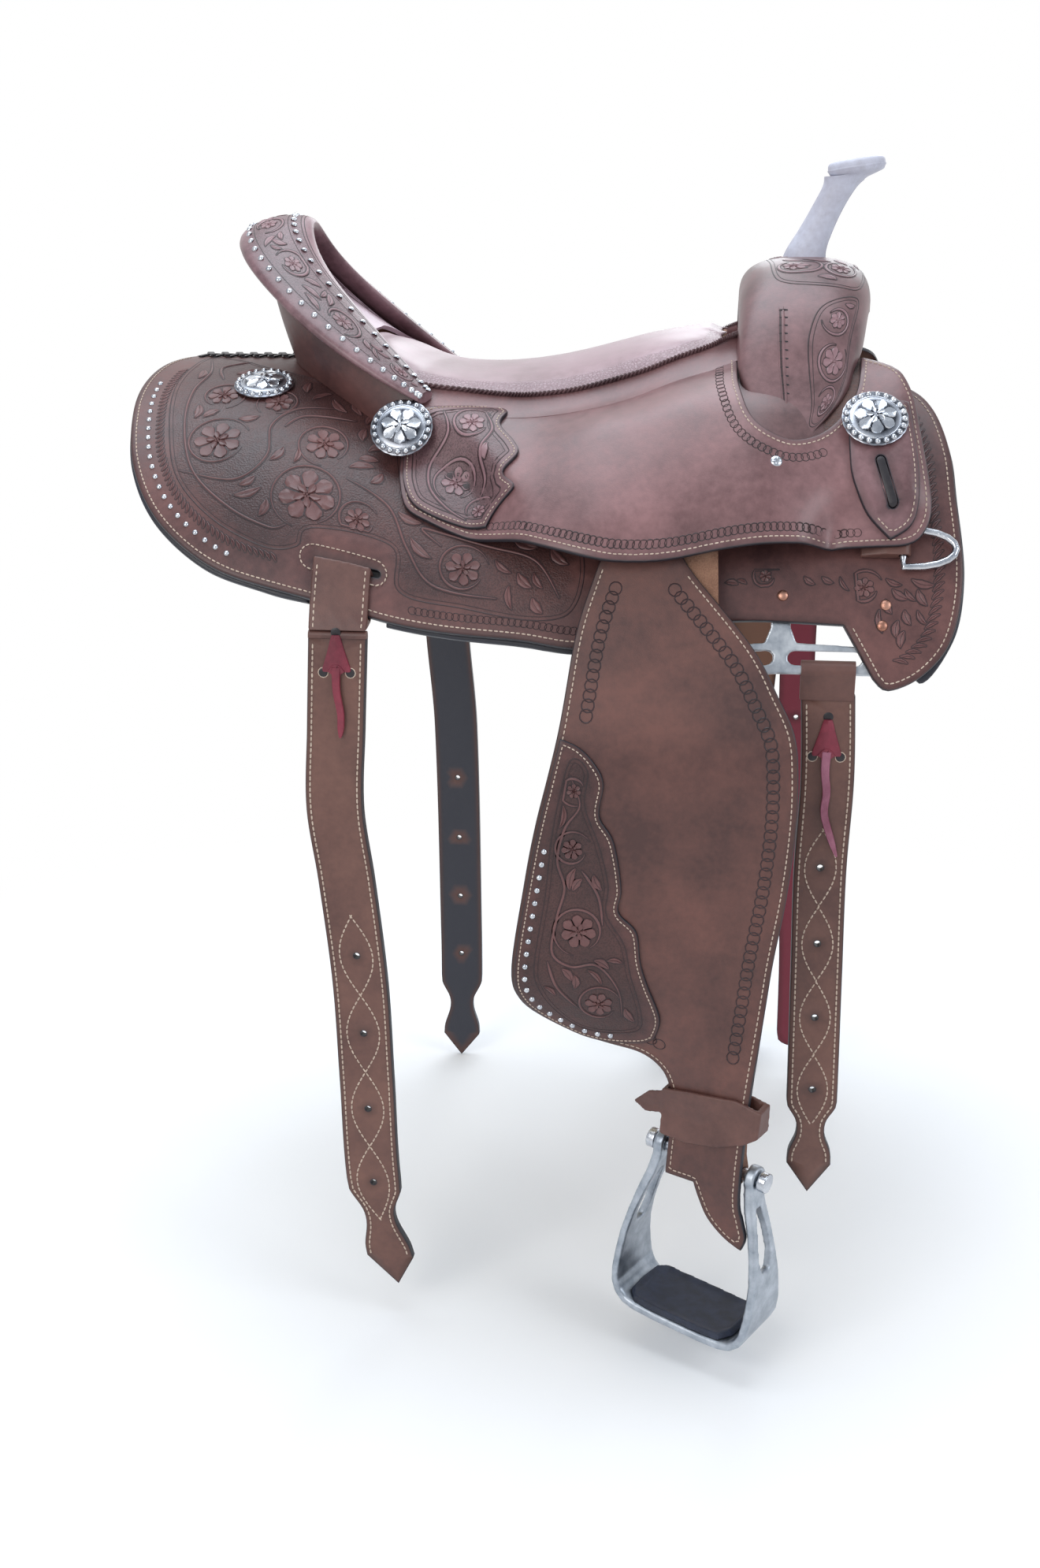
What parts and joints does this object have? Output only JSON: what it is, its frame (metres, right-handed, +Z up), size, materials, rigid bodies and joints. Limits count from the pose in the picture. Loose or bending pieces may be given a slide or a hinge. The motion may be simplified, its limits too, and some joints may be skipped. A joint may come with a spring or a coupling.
{
  "type": "barrel racing saddle",
  "caption": "Western saddle with a deep seat, tall raked cantle, leaning horn, round skirts, fenders, stirrups, rigging plates and hanging straps; fenders, stirrups and straps swing.",
  "frame": {"origin": "on the centre plane, at the height of the ridge line under the rear skirts, below the middle of the seat", "axes": "+X to the horn, +Y to the saddle's left side, +Z up"},
  "size_m": [0.725, 0.696, 1.0268],
  "materials": {
    "brown_leather": "smooth waxed leather",
    "horn_leather": "pale matt leather",
    "tan_leather": "rough side out",
    "burgundy_leather": "soft oiled leather",
    "cream_fleece": "sheared fleece",
    "tree_wood": "plain, hidden",
    "stainless_steel": "polished",
    "satin_aluminium": "satin",
    "black_rubber": "matt"
  },
  "bodies": {
    "saddle": {"swell_cover": "brown_leather", "tree_fork": "tree_wood", "horn": "horn_leather", "ground_seat": "tan_leather", "seat_cushion": "brown_leather", "cantle_roll": "brown_leather", "cantle_dish": "brown_leather", "tree_cantle": "tree_wood", "cantle_back": "brown_leather", "skirt_right": "brown_leather", "skirt_left": "brown_leather", "fleece_right": "cream_fleece", "fleece_left": "cream_fleece", "rigging_plate_right": "stainless_steel", "rigging_plate_left": "stainless_steel", "tree_bar_right": "tree_wood", "tree_bar_left": "tree_wood", "seat_jockey_right": "brown_leather", "seat_jockey_left": "brown_leather", "jockey_overlay_right": "brown_leather", "jockey_overlay_left": "brown_leather", "slotted_tab_right": "brown_leather", "slotted_tab_left": "brown_leather", "concho_rear_right": "stainless_steel", "concho_rear_left": "stainless_steel", "concho_middle_right": "stainless_steel", "concho_middle_left": "stainless_steel", "concho_front_right": "stainless_steel", "concho_front_left": "stainless_steel", "dee_keeper_right": "brown_leather", "dee_keeper_left": "brown_leather", "rear_billet_loop_right": "brown_leather", "rear_billet_loop_left": "brown_leather"},
    "right_fender": {"stirrup_leather_right": "tan_leather", "fender_right": "brown_leather", "fender_overlay_right": "brown_leather", "hobble_strap_right": "brown_leather"},
    "left_fender": {"stirrup_leather_left": "tan_leather", "fender_left": "brown_leather", "fender_overlay_left": "brown_leather", "hobble_strap_left": "brown_leather"},
    "right_stirrup": {"stirrup_right": "satin_aluminium", "tread_pad_right": "black_rubber", "stirrup_bolt_right": "stainless_steel"},
    "left_stirrup": {"stirrup_left": "satin_aluminium", "tread_pad_left": "black_rubber", "stirrup_bolt_left": "stainless_steel"},
    "right_rear_billet": {"rear_billet_right": "brown_leather"},
    "left_rear_billet": {"rear_billet_left": "brown_leather"},
    "right_billet": {"off_billet_right": "brown_leather"},
    "left_latigo": {"latigo_left": "burgundy_leather"},
    "right_dee": {"breast_dee_right": "stainless_steel"},
    "left_dee": {"breast_dee_left": "stainless_steel"}
  },
  "joints": [
    {"name": "fender_swing_right", "type": "hinge", "parent": "saddle", "child": "right_fender", "pos_m": [0.115, -0.2223, -0.072], "axis": [0, -0.9272, 0.3746], "range_deg": [-12, 11]},
    {"name": "fender_swing_left", "type": "hinge", "parent": "saddle", "child": "left_fender", "pos_m": [0.115, 0.2223, -0.072], "axis": [0, -0.9272, -0.3746], "range_deg": [-12, 20]},
    {"name": "stirrup_swing_right", "type": "hinge", "parent": "right_fender", "child": "right_stirrup", "pos_m": [0.16, -0.30321, -0.64113], "axis": [-0.8754, 0.4773, 0.0767], "range_deg": [-40, 60]},
    {"name": "stirrup_swing_left", "type": "hinge", "parent": "left_fender", "child": "left_stirrup", "pos_m": [0.16, 0.30321, -0.64113], "axis": [0.9957, 0.0522, -0.0767], "range_deg": [-40, 60]},
    {"name": "rear_billet_swing_right", "type": "hinge", "parent": "saddle", "child": "right_rear_billet", "pos_m": [-0.16, -0.273, -0.192], "axis": [1, 0, 0], "range_deg": [-75, 24]},
    {"name": "rear_billet_swing_left", "type": "hinge", "parent": "saddle", "child": "left_rear_billet", "pos_m": [-0.159, 0.273, -0.192], "axis": [-1, 0, 0], "range_deg": [-75, 24]},
    {"name": "off_billet_swing_right", "type": "hinge", "parent": "saddle", "child": "right_billet", "pos_m": [0.2435, -0.25148, -0.21625], "axis": [1, 0, 0], "range_deg": [-80, 22]},
    {"name": "latigo_swing_left", "type": "hinge", "parent": "saddle", "child": "left_latigo", "pos_m": [0.2415, 0.25148, -0.21625], "axis": [-1, 0, 0], "range_deg": [-80, 22]},
    {"name": "breast_dee_swing_right", "type": "hinge", "parent": "saddle", "child": "right_dee", "pos_m": [0.3, -0.22838, -0.11807], "axis": [0, -0.4768, -0.879], "range_deg": [0, 8]},
    {"name": "breast_dee_swing_left", "type": "hinge", "parent": "saddle", "child": "left_dee", "pos_m": [0.3, 0.22838, -0.11807], "axis": [0, -0.4768, 0.879], "range_deg": [0, 8]}
  ]
}
